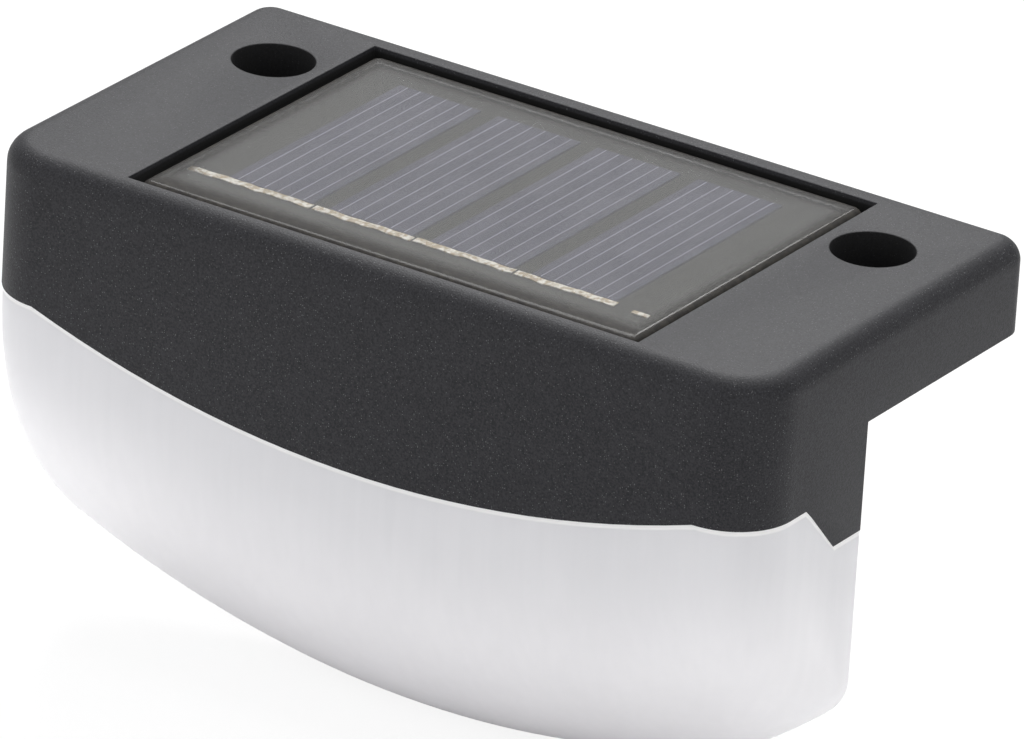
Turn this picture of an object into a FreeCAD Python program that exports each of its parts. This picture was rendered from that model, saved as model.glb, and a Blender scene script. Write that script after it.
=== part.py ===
import FreeCAD, Part
import math
import os
import re
import Sketcher
from FreeCAD import Placement, Rotation, Vector

# A solar fence light. +Z is up, the lit front faces -Y and +X is to the right seen from the front.
# The origin lies midway between the two fixing screws, on the underside of the flange: the flange
# rests on top of a rail or step, and the body hangs in front of its riser.

doc = FreeCAD.newDocument("FenceLight")
sizes = doc.addObject("Spreadsheet::Sheet", "Sizes")

SIZES = {
    # Housing: an L in side view, a flange on top and a body that hangs in front of the riser.
    "width": 99.0,
    "front_reach": 39.1,
    "rear_reach": 14.4,
    "flange_height": 10.7,
    "front_corner": 7.5,
    "rear_corner": 3.2,
    "front_edge": 2.6,
    "wall": 2.2,
    "top_wall": 2.0,
    # Parting line between housing and lens: level at the sides, a smile across the front,
    # and a tab that reaches down at the rear of each side.
    "side_drop": 6.3,
    "smile_drop": 13.3,
    "smile_half": 42.0,
    "tab_drop": 12.5,
    "tab_top": 11.2,
    "tab_foot": 5.3,
    # Solar panel and its recess in the top.
    "recess_width": 64.6,
    "recess_depth": 46.8,
    "recess_margin": 2.9,
    "recess_drop": 4.0,
    "recess_floor": 1.6,
    "panel_gap": 0.4,
    "tape_height": 0.6,
    "tape_width": 5.0,
    "panel_board_height": 1.2,
    "cell_height": 0.25,
    "cell_width": 10.6,
    "cell_pitch": 12.85,
    "cell_length": 32.5,
    "cell_front_margin": 9.6,
    "cell_shift": -1.2,
    "ribbon_height": 0.12,
    "ribbon_width": 1.2,
    "ribbon_overhang": 1.5,
    "ribbon_start": 3.2,
    "ribbon_end_length": 2.0,
    "resin_height": 1.3,
    "resin_edge": 0.9,
    "wire_hole": 4.0,
    "wire_across": 24.0,
    "wire_hole_land": 0.8,
    # Fixing-screw wells.
    "screw_spacing": 76.8,
    "well_bore": 9.2,
    "well_wall": 1.4,
    "screw_hole": 4.4,
    "seat_height": 3.8,
    # Rear cover.
    "cover_height": 2.0,
    "cover_gap": 0.2,
    "boss_radius": 3.0,
    "boss_inset": 6.0,
    "boss_rear": 9.0,
    "boss_front": 12.5,
    "pilot_radius": 1.2,
    "cover_screw_length": 7.0,
    "screw_head_radius": 2.1,
    "screw_head_height": 1.1,
    "board_screw_length": 4.7,
    "slot_width": 0.6,
    "slot_length": 3.0,
    # Lens.
    "lens_drop": 47.0,
    "lens_arc": 88.0,
    "lens_wall": 2.0,
    "lens_inset": 0.3,
    "lens_curve": 95.0,
    "lens_setback": 12.3,
    "lens_side_heel": 4.5,
    "lens_heel": 7.0,
    "lens_lip": 3.0,
    "lip_wall": 1.0,
    "lip_gap": 0.15,
    # Battery.
    "cell_radius": 5.0,
    "battery_length": 43.5,
    "sleeve_wall": 0.25,
    "battery_inset": 5.55,
    "battery_pip": 1.0,
    "pip_radius": 2.4,
    "sleeve_short": 0.3,
    "battery_tape": 0.8,
    "battery_gap": 0.5,
    "pad_length": 28.0,
    "pad_width": 6.0,
    "tab_wall": 0.3,
    "tab_width": 4.0,
    "tab_below": 4.4,
    "tab_height": 6.0,
    # Circuit board, switch and button.
    "board_width": 42.0,
    "board_height": 15.0,
    "board_wall": 1.2,
    "board_top": 2.0,
    "board_centre": 13.0,
    "board_standoff": 4.0,
    "head_gap": 0.4,
    "post_radius": 2.2,
    "post_inset": 3.0,
    "button_radius": 3.5,
    "button_flange": 4.4,
    "button_gap": 0.25,
    "button_sink": 0.5,
    "button_travel": 0.5,
    "button_drop": 4.6,
    "switch_size": 6.0,
    "switch_height": 2.6,
    "plunger_radius": 1.5,
    "led_radius": 1.5,
    "led_pitch": 22.0,
    "led_length": 2.4,
    "led_collar": 0.8,
    "collar_rim": 0.3,
    "chip_width": 5.0,
    "chip_height": 3.7,
    "chip_depth": 1.6,
    "coil_radius": 1.7,
    "coil_length": 7.0,
    "coil_foot": 0.5,
    "small_width": 2.0,
    "small_height": 1.2,
    "small_depth": 0.8,
    # Leads.
    "wire_radius": 0.6,
    "wire_pitch": 1.7,
    "solder_drop": 2.5,
    "lead_run": 3.0,
    "lead_sink": 4.5,
    "lead_clearance": 2.4,
}

# Three places follow from the rest: the recess from the front, the riser face from the stack that
# the body holds, and the wire hole from the foam tape's window.
WORKED_OUT = {
    "recess_centre": "(front_reach - recess_margin - recess_depth / 2)",
    "riser_reach": "(front_reach - wall - battery_gap - 2 * (cell_radius + sleeve_wall) - head_gap"
                   " - screw_head_height - board_wall - board_standoff - cover_height)",
    "wire_reach": "(recess_centre + recess_depth / 2 - panel_gap - tape_width - wire_hole / 2"
                  " - wire_hole_land)",
}

for row, (alias, size) in enumerate(SIZES.items(), start=1):
    sizes.set(f"A{row}", alias)
    sizes.set(f"B{row}", str(size))
    sizes.setAlias(f"B{row}", alias)
origin = doc.addObject("App::FeaturePython", "Origin")
doc.recompute()

FUNCTIONS = ("sqrt",)


def bound(text):
    """Turns the words of a formula into references to the sheet's cells."""
    def cell(found):
        word = found[0]
        if word in WORKED_OUT:
            return bound(WORKED_OUT[word])
        return word if word in FUNCTIONS else f"Sizes.{word}"

    return re.sub(r"[a-z][a-z_]+", cell, text)


def bind(thing, prop, formula):
    thing.setExpression(prop, bound(str(formula)))
    return thing


def origin_plane(body, role):
    return next(plane for plane in body.Origin.OriginFeatures if plane.Role == role)


def new_body(name):
    body = doc.addObject("PartDesign::Body", name)
    body.Label = name
    return body


def new_sketch(body, role, name, lift="0"):
    """A sketch on one of the body's own planes, lifted along that plane's normal."""
    sketch = body.newObject("Sketcher::SketchObject", name)
    sketch.AttachmentSupport = [(origin_plane(body, role), "")]
    sketch.MapMode = "FlatFace"
    return bind(sketch, "AttachmentOffset.Base.z", lift)


def measure(sketch, kind, piece, end, formula):
    """Ties a point's distance from the origin to a formula, starting from where it is drawn."""
    point = sketch.getPoint(piece, end)
    drawn = point.x if kind == "DistanceX" else point.y
    index = sketch.addConstraint(Sketcher.Constraint(kind, -1, 1, piece, end, drawn))
    bind(sketch, f"Constraints[{index}]", formula)


def place_corner(sketch, piece, end, across, up):
    measure(sketch, "DistanceX", piece, end, across)
    measure(sketch, "DistanceY", piece, end, up)


def outline(body, role, name, corners, lift="0"):
    """A closed outline of straight lines through corners given as pairs of formulas."""
    sketch = new_sketch(body, role, name, lift)
    count = len(corners)
    ring = [Vector(10 * math.cos(2 * math.pi * i / count), 10 * math.sin(2 * math.pi * i / count), 0)
            for i in range(count)]
    for i in range(count):
        sketch.addGeometry(Part.LineSegment(ring[i], ring[(i + 1) % count]), False)
    for i in range(count):
        sketch.addConstraint(Sketcher.Constraint("Coincident", i, 2, (i + 1) % count, 1))
    for i, (across, up) in enumerate(corners):
        place_corner(sketch, i, 1, across, up)
    return sketch


def rectangle(body, role, name, left, right, low, high, lift="0"):
    corners = [(left, low), (right, low), (right, high), (left, high)]
    return outline(body, role, name, corners, lift)


def circle(body, role, name, across, up, radius, lift="0"):
    sketch = new_sketch(body, role, name, lift)
    sketch.addGeometry(Part.Circle(Vector(5, 5, 0), Vector(0, 0, 1), 1.0), False)
    place_corner(sketch, 0, 3, across, up)
    index = sketch.addConstraint(Sketcher.Constraint("Radius", 0, 1.0))
    bind(sketch, f"Constraints[{index}]", radius)
    return sketch


def pad(body, sketch, name, length, down=False):
    feature = body.newObject("PartDesign::Pad", name)
    feature.Profile = sketch
    feature.Reversed = down
    bind(feature, "Length", length)
    doc.recompute()
    return feature


def pocket(body, sketch, name, length, up=False, both_ways=False):
    """Cuts against the sketch plane's normal, or along it with up, and checks that it cuts."""
    before = body.Tip.Shape.Volume
    feature = body.newObject("PartDesign::Pocket", name)
    feature.Profile = sketch
    feature.Reversed = up
    feature.Midplane = both_ways
    bind(feature, "Length", length)
    doc.recompute()
    if feature.Shape.isNull() or feature.Shape.Volume > before - 0.01:
        raise RuntimeError(f"{name} cuts nothing")
    return feature


def edges_where(shape, test):
    return [f"Edge{i}" for i, edge in enumerate(shape.Edges, start=1) if test(edge)]


def upright(edge):
    box = edge.BoundBox
    return box.XLength < 0.01 and box.YLength < 0.01 and box.ZLength > 0.1


def round_edges(body, name, radius, test):
    base = body.Tip
    feature = body.newObject("PartDesign::Fillet", name)
    feature.Base = (base, edges_where(base.Shape, test))
    bind(feature, "Radius", radius)
    doc.recompute()
    return feature


def value(formula):
    return float(origin.evalExpression(bound(formula)))


def part_cut(name, base, *tools):
    """Base less each of the tools in turn; the last cut carries the name."""
    result = base
    for i, tool in enumerate(tools):
        cut = doc.addObject("Part::Cut", name if i == len(tools) - 1 else f"{name}_cut_{i}")
        cut.Base, cut.Tool = result, tool
        result = cut
    result.Label = name
    return result


# ---------------------------------------------------------------------------------------------
# Parting line. The sides are level, the front drops in a shallow arc and a tab reaches down at
# the rear of each side. The same two cuts shape the housing and everything that fits it.

def smile_sketch(body, name, lift):
    sketch = new_sketch(body, "XZ_Plane", name, "front_reach + 6")
    half, sag = value("smile_half"), value("smile_drop") - value("side_drop")
    radius = (half * half + sag * sag) / (2 * sag)
    lowest = -value("smile_drop")
    swing = math.asin(half / radius)
    arc = Part.Circle(Vector(0, lowest + radius, 0), Vector(0, 0, 1), radius)
    sketch.addGeometry(Part.ArcOfCircle(arc, -math.pi / 2 - swing, -math.pi / 2 + swing), False)
    out, level, deep = value("width") / 2 + 6, -value("side_drop"), lowest - 20
    run = [Vector(half, level, 0), Vector(out, level, 0), Vector(out, deep, 0),
           Vector(-out, deep, 0), Vector(-out, level, 0), Vector(-half, level, 0)]
    for start, end in zip(run, run[1:]):
        sketch.addGeometry(Part.LineSegment(start, end), False)
    for i in range(6):
        sketch.addConstraint(Sketcher.Constraint("Coincident", i, 2, (i + 1) % 6, 1))
    side, level, deep = "(width / 2 + 6)", f"{lift} - side_drop", f"{lift} - smile_drop - 20"
    places = [("-smile_half", level), ("smile_half", level), (side, level), (side, deep),
              (f"-{side}", deep), (f"-{side}", level)]
    for piece, (across, up) in enumerate(places):
        place_corner(sketch, piece, 1, across, up)
    index = sketch.addConstraint(Sketcher.Constraint("Radius", 0, radius))
    sag = "(smile_drop - side_drop)"
    bind(sketch, f"Constraints[{index}]", f"(smile_half ^ 2 + {sag} ^ 2) / (2 * {sag})")
    return sketch


def cut_parting(body, lift="0"):
    """Removes all below the parting surface, which lift raises."""
    front = smile_sketch(body, f"{body.Name}_smile", lift)
    pocket(body, front, f"{body.Name}_smile_cut", "front_reach + 6 - riser_reach - tab_top")
    top, foot = "-(riser_reach + tab_top)", "-(riser_reach + tab_foot)"
    level, tab = f"{lift} - side_drop", f"{lift} - tab_drop"
    deep, behind = f"{lift} - smile_drop - 20", "-(riser_reach - 6)"
    corners = [(top, level), (foot, tab), (behind, tab), (behind, deep), (top, deep)]
    side = outline(body, "YZ_Plane", f"{body.Name}_tab", corners)
    pocket(body, side, f"{body.Name}_tab_cut", "width + 20", both_ways=True)


def plan_prism(name, inset, top, height):
    """The plan of the hanging body, drawn in by inset, from top down by height."""
    body = new_body(name)
    side, front, rear = f"width / 2 - {inset}", f"-front_reach + {inset}", f"-riser_reach - {inset}"
    sketch = rectangle(body, "XY_Plane", f"{name}_plan", f"-({side})", side, front, rear, top)
    pad(body, sketch, f"{name}_blank", height, down=True)
    front_y = -value("front_reach") + 5
    round_edges(body, f"{name}_corners", f"front_corner - {inset}",
                lambda edge: upright(edge) and edge.CenterOfMass.y < front_y)
    return body


def parting_block(name, lift):
    """Everything above the parting surface raised by lift."""
    body = new_body(name)
    side = "(width / 2 + 4)"
    sketch = rectangle(body, "XY_Plane", f"{name}_plan", f"-{side}", side,
                       "-(front_reach + 4)", "-(riser_reach - 4)", "6")
    pad(body, sketch, f"{name}_blank", "smile_drop + 10", down=True)
    cut_parting(body, lift)
    return body


# ---------------------------------------------------------------------------------------------
# Top housing: one moulding with the flange, the panel recess, two screw wells and four bosses.

housing = new_body("housing_moulding")
flange_plan = rectangle(housing, "XY_Plane", "flange_plan", "-width / 2", "width / 2",
                        "-front_reach", "rear_reach")
pad(housing, flange_plan, "flange", "flange_height")
body_plan = rectangle(housing, "XY_Plane", "body_plan", "-width / 2", "width / 2",
                      "-front_reach", "-riser_reach")
pad(housing, body_plan, "hanging_body", "smile_drop + 1", down=True)
round_edges(housing, "front_corners", "front_corner",
            lambda edge: upright(edge) and edge.CenterOfMass.y < -value("riser_reach") - 1)
round_edges(housing, "rear_corners", "rear_corner",
            lambda edge: upright(edge) and edge.CenterOfMass.y > value("rear_reach") - 1)
top_level = value("flange_height")
round_edges(housing, "top_edges", "front_edge",
            lambda edge: edge.BoundBox.ZMin > top_level - 0.01)
cut_parting(housing)

recess = rectangle(housing, "XY_Plane", "recess_plan", "-recess_width / 2", "recess_width / 2",
                   "-recess_centre - recess_depth / 2", "-recess_centre + recess_depth / 2",
                   "flange_height")
pocket(housing, recess, "panel_recess", "recess_drop")

# The hollow inside: one chamber up to the recess floor, and a higher one on each side of it.
hollow = new_body("housing_hollow")
inner_side, inner_front, inner_rear = "width / 2 - wall", "-front_reach + wall", "rear_reach - wall"
ceiling = "flange_height - recess_drop - recess_floor"
chamber = rectangle(hollow, "XY_Plane", "chamber_plan", f"-({inner_side})", inner_side,
                    inner_front, inner_rear, ceiling)
pad(hollow, chamber, "chamber", f"{ceiling} + smile_drop + 4", down=True)
for side, sign in (("left", -1), ("right", 1)):
    near, far = f"{sign} * (recess_width / 2 + recess_floor)", f"{sign} * ({inner_side})"
    left, right = (far, near) if sign < 0 else (near, far)
    wing = rectangle(hollow, "XY_Plane", f"{side}_wing_plan", left, right, inner_front, inner_rear,
                     f"{ceiling} - 1")
    pad(hollow, wing, f"{side}_wing", f"flange_height - top_wall - ({ceiling}) + 1")
corner_x, corner_y = value("width") / 2 - value("wall"), -value("front_reach") + value("wall")
round_edges(hollow, "hollow_corners", "front_corner - wall",
            lambda edge: upright(edge) and abs(abs(edge.BoundBox.Center.x) - corner_x) < 0.01
            and abs(edge.BoundBox.Center.y - corner_y) < 0.01)
hollowing = housing.newObject("PartDesign::Boolean", "hollowing")
hollowing.setObjects([hollow])
hollowing.Type = "Cut"
doc.recompute()

BOSSES = [(f"{sign} * (width / 2 - boss_inset)", depth)
          for sign in (-1, 1) for depth in ("boss_rear", "-boss_front")]
WELLS = [f"{sign} * screw_spacing / 2" for sign in (-1, 1)]
under_top = "flange_height - top_wall - cover_height"
for i, across in enumerate(WELLS):
    tube = circle(housing, "XY_Plane", f"well_tube_{i}", across, "0", "well_bore / 2 + well_wall",
                  "cover_height")
    pad(housing, tube, f"well_{i}", f"{under_top} + 0.2")
for i, (across, depth) in enumerate(BOSSES):
    boss = circle(housing, "XY_Plane", f"boss_plan_{i}", across, depth, "boss_radius", "cover_height")
    pad(housing, boss, f"boss_{i}", f"{under_top} + 0.2")
for i, across in enumerate(WELLS):
    bore = circle(housing, "XY_Plane", f"well_bore_{i}", across, "0", "well_bore / 2", "flange_height")
    pocket(housing, bore, f"head_well_{i}", "flange_height - seat_height")
    hole = circle(housing, "XY_Plane", f"screw_hole_{i}", across, "0", "screw_hole / 2", "seat_height")
    pocket(housing, hole, f"screw_pass_{i}", "seat_height + 1")
for i, (across, depth) in enumerate(BOSSES):
    pilot = circle(housing, "XY_Plane", f"pilot_plan_{i}", across, depth, "pilot_radius", "cover_height")
    pocket(housing, pilot, f"pilot_{i}", "cover_screw_length - 0.8", up=True)
wire_pass = circle(housing, "XY_Plane", "wire_pass_plan", "wire_across", "-wire_reach",
                   "wire_hole / 2", "flange_height")
pocket(housing, wire_pass, "wire_pass", "recess_drop + recess_floor + 1")

lip_inset = "(lens_inset + lip_wall - lip_gap)"
lip_room_prism = plan_prism("lip_room_prism", lip_inset, "4", "smile_drop + 12")
lip_room_roof = parting_block("lip_room_roof", "(lens_lip + lip_gap)")
lip_room = part_cut("lip_room", lip_room_prism, lip_room_roof)
top_housing = part_cut("top_housing", housing, lip_room)

# ---------------------------------------------------------------------------------------------
# Back cover: an L-shaped plate under the flange and behind the body, with board posts and the
# button's hole.

cover = new_body("cover_moulding")
cover_side = "(width / 2 - wall - cover_gap)"
plate = rectangle(cover, "XY_Plane", "plate_plan", f"-{cover_side}", cover_side,
                  "-riser_reach - cover_height", "rear_reach - wall - cover_gap")
pad(cover, plate, "flange_plate", "cover_height")
back = rectangle(cover, "XY_Plane", "back_plan", f"-{cover_side}", cover_side,
                 "-riser_reach - cover_height", "-riser_reach")
pad(cover, back, "riser_plate", "tab_drop", down=True)
POSTS = [f"board_centre + {sign} * (board_width / 2 - post_inset)" for sign in (-1, 1)]
post_level = "board_top - post_inset"
for i, across in enumerate(POSTS):
    post = circle(cover, "XZ_Plane", f"post_plan_{i}", across, post_level, "post_radius",
                  "riser_reach + cover_height - 0.2")
    pad(cover, post, f"board_post_{i}", "board_standoff + 0.2")
    post_pilot = circle(cover, "XZ_Plane", f"post_pilot_plan_{i}", across, post_level,
                        "pilot_radius", "riser_reach + cover_height + board_standoff")
    pocket(cover, post_pilot, f"post_pilot_{i}", "board_standoff + 0.8")
button_pass = circle(cover, "XZ_Plane", "button_pass_plan", "board_centre", "-button_drop",
                     "button_radius + button_gap", "riser_reach + cover_height")
pocket(cover, button_pass, "button_pass", "cover_height + 1")
for i, across in enumerate(WELLS):
    hole = circle(cover, "XY_Plane", f"cover_screw_hole_{i}", across, "0", "screw_hole / 2",
                  "cover_height")
    pocket(cover, hole, f"cover_screw_pass_{i}", "cover_height + 1")
for i, (across, depth) in enumerate(BOSSES):
    pass_hole = circle(cover, "XY_Plane", f"cover_pass_plan_{i}", across, depth,
                       "pilot_radius + 0.2", "cover_height")
    pocket(cover, pass_hole, f"cover_pass_{i}", "cover_height + 1")
    sink = circle(cover, "XY_Plane", f"cover_sink_plan_{i}", across, depth,
                  "screw_head_radius + 0.3")
    pocket(cover, sink, f"cover_sink_{i}", "screw_head_height + 0.1", up=True)
back_cover = part_cut("back_cover", cover, lip_room)

# ---------------------------------------------------------------------------------------------
# Lens: a deep cup in frosted plastic. Its front falls straight from the parting line, then curves
# under; that profile follows a wide arc across the width. An inner lip stands up into the housing.

def lens_blank(name, thin):
    """The lens's outer form, or with thin its hollow, drawn in evenly by that wall."""
    body = plan_prism(name, f"(lens_inset + {thin})", "0", "lens_drop + 2")
    wall_now = value("lens_wall") if thin == "lens_wall" else 0.0
    reach, radius = value("width") / 2 + 6, value("lens_arc")
    swing = math.asin(reach / radius)
    path = new_sketch(body, "XZ_Plane", f"{name}_arc")
    hoop = Part.Circle(Vector(0, radius - value("lens_drop"), 0), Vector(0, 0, 1), radius)
    path.addGeometry(Part.ArcOfCircle(hoop, -math.pi / 2 - swing, -math.pi / 2 + swing), False)
    path.addConstraint(Sketcher.Constraint("PointOnObject", 0, 3, -2))
    bind(path, f"Constraints[{path.addConstraint(Sketcher.Constraint('Radius', 0, radius))}]", "lens_arc")
    measure(path, "DistanceY", 0, 3, "lens_arc - lens_drop")
    measure(path, "DistanceX", 0, 1, "-(width / 2 + 6)")
    measure(path, "DistanceX", 0, 2, "width / 2 + 6")

    # All that lies outside this profile is swept away along the arc.
    belly = new_sketch(body, "YZ_Plane", f"{name}_profile", "-(width / 2 + 6)")
    rise = radius - math.sqrt(radius ** 2 - reach ** 2)
    face = -value("front_reach") + value("lens_inset") + wall_now
    floor = -value("lens_drop") + wall_now + rise
    large, small = value("lens_curve") - wall_now, value("lens_heel") - wall_now
    heel = Vector(face + value("lens_setback") - wall_now, floor + small, 0)
    hip_x = face + large
    hip_y = heel.y + math.sqrt((large - small) ** 2 - (hip_x - heel.x) ** 2)
    turn = math.atan2(hip_y - heel.y, hip_x - heel.x)
    hip = Part.Circle(Vector(hip_x, hip_y, 0), Vector(0, 0, 1), large)
    belly.addGeometry(Part.ArcOfCircle(hip, math.pi, math.pi + turn), False)
    toe = Part.Circle(heel, Vector(0, 0, 1), small)
    belly.addGeometry(Part.ArcOfCircle(toe, math.pi + turn, 1.5 * math.pi), False)
    behind, deep, outside = -value("riser_reach") + 8, floor - 30, face - 8
    run = [Vector(heel.x, floor, 0), Vector(behind, floor, 0), Vector(behind, deep, 0),
           Vector(outside, deep, 0), Vector(outside, hip_y, 0), Vector(face, hip_y, 0)]
    for begin, end in zip(run, run[1:]):
        belly.addGeometry(Part.LineSegment(begin, end), False)
    belly.addConstraint(Sketcher.Constraint("Tangent", 0, 2, 1, 1))
    belly.addConstraint(Sketcher.Constraint("Tangent", 1, 2, 2, 1))
    for i in range(2, 6):
        belly.addConstraint(Sketcher.Constraint("Coincident", i, 2, i + 1, 1))
    belly.addConstraint(Sketcher.Constraint("Coincident", 6, 2, 0, 1))
    belly.addConstraint(Sketcher.Constraint("Horizontal", 0, 3, 0, 1))
    belly.addConstraint(Sketcher.Constraint("Horizontal", 6))
    belly.addConstraint(Sketcher.Constraint("Horizontal", 4))
    belly.addConstraint(Sketcher.Constraint("Vertical", 3))
    belly.addConstraint(Sketcher.Constraint("Vertical", 5))
    for piece, radius_now, formula in ((0, large, "lens_curve"), (1, small, "lens_heel")):
        index = belly.addConstraint(Sketcher.Constraint("Radius", piece, radius_now))
        bind(belly, f"Constraints[{index}]", f"{formula} - {thin}")
    face_now = f"(-front_reach + lens_inset + {thin})"
    risen = "(lens_arc - sqrt(lens_arc ^ 2 - (width / 2 + 6) ^ 2))"
    floor_now = f"(-lens_drop + {thin} + {risen})"
    distances = [("DistanceX", 0, 1, face_now), ("DistanceX", 2, 1, "-front_reach + lens_inset + lens_setback"),
                 ("DistanceY", 2, 1, floor_now), ("DistanceY", 3, 1, floor_now),
                 ("DistanceX", 3, 1, "-riser_reach + 8"), ("DistanceX", 5, 1, f"{face_now} - 8"),
                 ("DistanceY", 5, 1, f"{floor_now} - 30")]
    for kind, piece, end, formula in distances:
        measure(belly, kind, piece, end, formula)
    doc.recompute()
    before = body.Tip.Shape.Volume
    sweep = body.newObject("PartDesign::SubtractivePipe", f"{name}_belly")
    sweep.Profile = belly
    sweep.Spine = (path, ["Edge1"])
    sweep.Mode = "Fixed"
    doc.recompute()
    if sweep.Shape.isNull() or sweep.Shape.Volume > before - 1:
        raise RuntimeError(f"{name} keeps its square foot")
    side = value("width") / 2 - value("lens_inset") - wall_now
    round_edges(body, f"{name}_sides", f"lens_side_heel - {thin}",
                lambda edge: abs(abs(edge.BoundBox.Center.x) - side) < 0.05
                and edge.BoundBox.XLength < 0.05
                and edge.BoundBox.ZLength < edge.BoundBox.YLength
                and edge.BoundBox.Center.z < -value("smile_drop"))
    return body


lens_outer = lens_blank("lens_outer", "0")
lens_core = lens_blank("lens_core", "lens_wall")
lip_prism = plan_prism("lip_prism", "(lens_inset + lip_wall)", "8", "smile_drop + 30")
lens_step = part_cut("lens_step", parting_block("lens_step_block", "0"), lip_prism)
lens = part_cut("lens", lens_outer, lens_core, lens_step, parting_block("lens_top", "lens_lip"))

# ---------------------------------------------------------------------------------------------
# Plain solids for the pieces inside.

TURNED = {"z": Rotation(), "front": Rotation(Vector(1, 0, 0), 90), "x": Rotation(Vector(0, 1, 0), 90)}


def box(name, left, front, low, width, depth, height):
    solid = doc.addObject("Part::Box", name)
    solid.Label = name
    for prop, formula in (("Length", width), ("Width", depth), ("Height", height)):
        bind(solid, prop, formula)
    return set_at(solid, left, front, low)


def set_at(thing, across, depth, up):
    for axis, formula in (("x", across), ("y", depth), ("z", up)):
        bind(thing, f"Placement.Base.{axis}", formula)
    return thing


def rod(name, radius, length, across, depth, up, axis="z"):
    solid = doc.addObject("Part::Cylinder", name)
    solid.Label = name
    bind(solid, "Radius", radius)
    bind(solid, "Height", length)
    solid.Placement = Placement(Vector(), TURNED[axis])
    return set_at(solid, across, depth, up)


def part_fuse(name, *pieces):
    fuse = doc.addObject("Part::MultiFuse", name)
    fuse.Shapes = list(pieces)
    fuse.Label = name
    return fuse


def group(name, pieces):
    """Separate solids of one kind that share a node."""
    compound = doc.addObject("Part::Compound", name)
    compound.Links = list(pieces)
    compound.Label = name
    return compound


def softened(name, base, radius, test):
    """Rounds the edges of base that pass the test."""
    doc.recompute()
    fillet = doc.addObject("Part::Fillet", name)
    fillet.Base = base
    picked = [i for i, edge in enumerate(base.Shape.Edges, start=1) if test(edge)]
    fillet.Edges = [(i, value(radius), value(radius)) for i in picked]
    fillet.Label = name
    return fillet


# Solar panel: foam tape, a thin board, four cell strips, tinned ribbons along their front ends
# and a clear resin coat poured over them.
panel_left = "(-recess_width / 2 + panel_gap)"
panel_front = "(-recess_centre - recess_depth / 2 + panel_gap)"
panel_width, panel_depth = "(recess_width - 2 * panel_gap)", "(recess_depth - 2 * panel_gap)"
panel_low = "(flange_height - recess_drop)"
tape_outer = box("tape_outer", panel_left, panel_front, panel_low, panel_width, panel_depth, "tape_height")
tape_inner = box("tape_inner", f"{panel_left} + tape_width", f"{panel_front} + tape_width",
                 f"{panel_low} - 1", f"{panel_width} - 2 * tape_width",
                 f"{panel_depth} - 2 * tape_width", "tape_height + 2")
panel_tape = part_cut("panel_tape", tape_outer, tape_inner)
board_low = f"({panel_low} + tape_height)"
panel_board = box("panel_board", panel_left, panel_front, board_low, panel_width, panel_depth,
                  "panel_board_height")
cell_low = f"({board_low} + panel_board_height)"
cell_front = "(-recess_centre - recess_depth / 2 + cell_front_margin)"
ribbon_front = f"({cell_front} - ribbon_width)"
strips, ribbons = [], []
for i in range(4):
    left = f"({i} - 1.5) * cell_pitch - cell_width / 2 + cell_shift"
    strips.append(box(f"cell_strip_{i}", left, cell_front, cell_low,
                      "cell_width", "cell_length", "cell_height"))
    start = "ribbon_overhang + ribbon_start" if i == 0 else "ribbon_overhang"
    ribbons.append(box(f"ribbon_{i}", f"{left} - ({start})", ribbon_front, cell_low,
                       f"cell_width + {start} + 0.2", "ribbon_width", "ribbon_height"))
ribbons.append(box("ribbon_end", "2 * cell_pitch + cell_shift + 1.5", f"{ribbon_front} - 0.6",
                   cell_low, "ribbon_end_length", "ribbon_width", "ribbon_height"))
solar_cells = group("solar_cells", strips)
cell_ribbons = group("cell_ribbons", ribbons)
resin_block = box("resin_block", panel_left, panel_front, cell_low, panel_width, panel_depth, "resin_height")
resin_top = value("flange_height") - value("recess_drop") + value("tape_height") + \
    value("panel_board_height") + value("resin_height")
resin_coat = softened("resin_coat", resin_block, "resin_edge",
                      lambda edge: edge.BoundBox.ZMin > resin_top - 0.01
                      or upright(edge))
panel_resin = part_cut("panel_resin", resin_coat, solar_cells, cell_ribbons)

# Battery: a rechargeable cell in a shrink sleeve, taped up under the recess floor, with a welded
# tab on each end.
sleeve_radius = "(cell_radius + sleeve_wall)"
battery_up = f"(flange_height - recess_drop - recess_floor - battery_tape - {sleeve_radius})"
battery_left = "(-width / 2 + wall + battery_inset)"
battery_middle = f"({battery_left} + battery_length / 2)"
battery_back = f"(-front_reach + wall + battery_gap + {sleeve_radius})"
can = rod("battery_can", "cell_radius", "battery_length - battery_pip", battery_left, battery_back,
          battery_up, "x")
pip = rod("battery_pip", "pip_radius", "battery_pip", f"{battery_left} + battery_length - battery_pip",
          battery_back, battery_up, "x")
battery_cell = part_fuse("battery_cell", can, pip)
sleeve_skin = rod("sleeve_skin", sleeve_radius, "battery_length - battery_pip - 2 * sleeve_short",
                  f"{battery_left} + sleeve_short", battery_back, battery_up, "x")
sleeve_bore = rod("sleeve_bore", "cell_radius", "battery_length", battery_left, battery_back,
                  battery_up, "x")
battery_sleeve = part_cut("battery_sleeve", sleeve_skin, sleeve_bore)
pad_sink = "battery_tape"
pad_block = box("pad_block", f"{battery_middle} - pad_length / 2", f"{battery_back} - pad_width / 2",
                f"{battery_up} + cell_radius - {pad_sink}", "pad_length", "pad_width",
                f"sleeve_wall + battery_tape + {pad_sink}")
sleeve_form = rod("sleeve_form", sleeve_radius, "battery_length", battery_left, battery_back, battery_up, "x")
battery_pad = part_cut("battery_pad", pad_block, sleeve_form)
battery_tabs = group("battery_tabs", [
    box(name, left, f"{battery_back} - tab_width / 2", f"{battery_up} - tab_below",
        "tab_wall", "tab_width", "tab_height")
    for name, left in (("tab_minus", f"{battery_left} - tab_wall"),
                       ("tab_plus", f"{battery_left} + battery_length"))])

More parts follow.
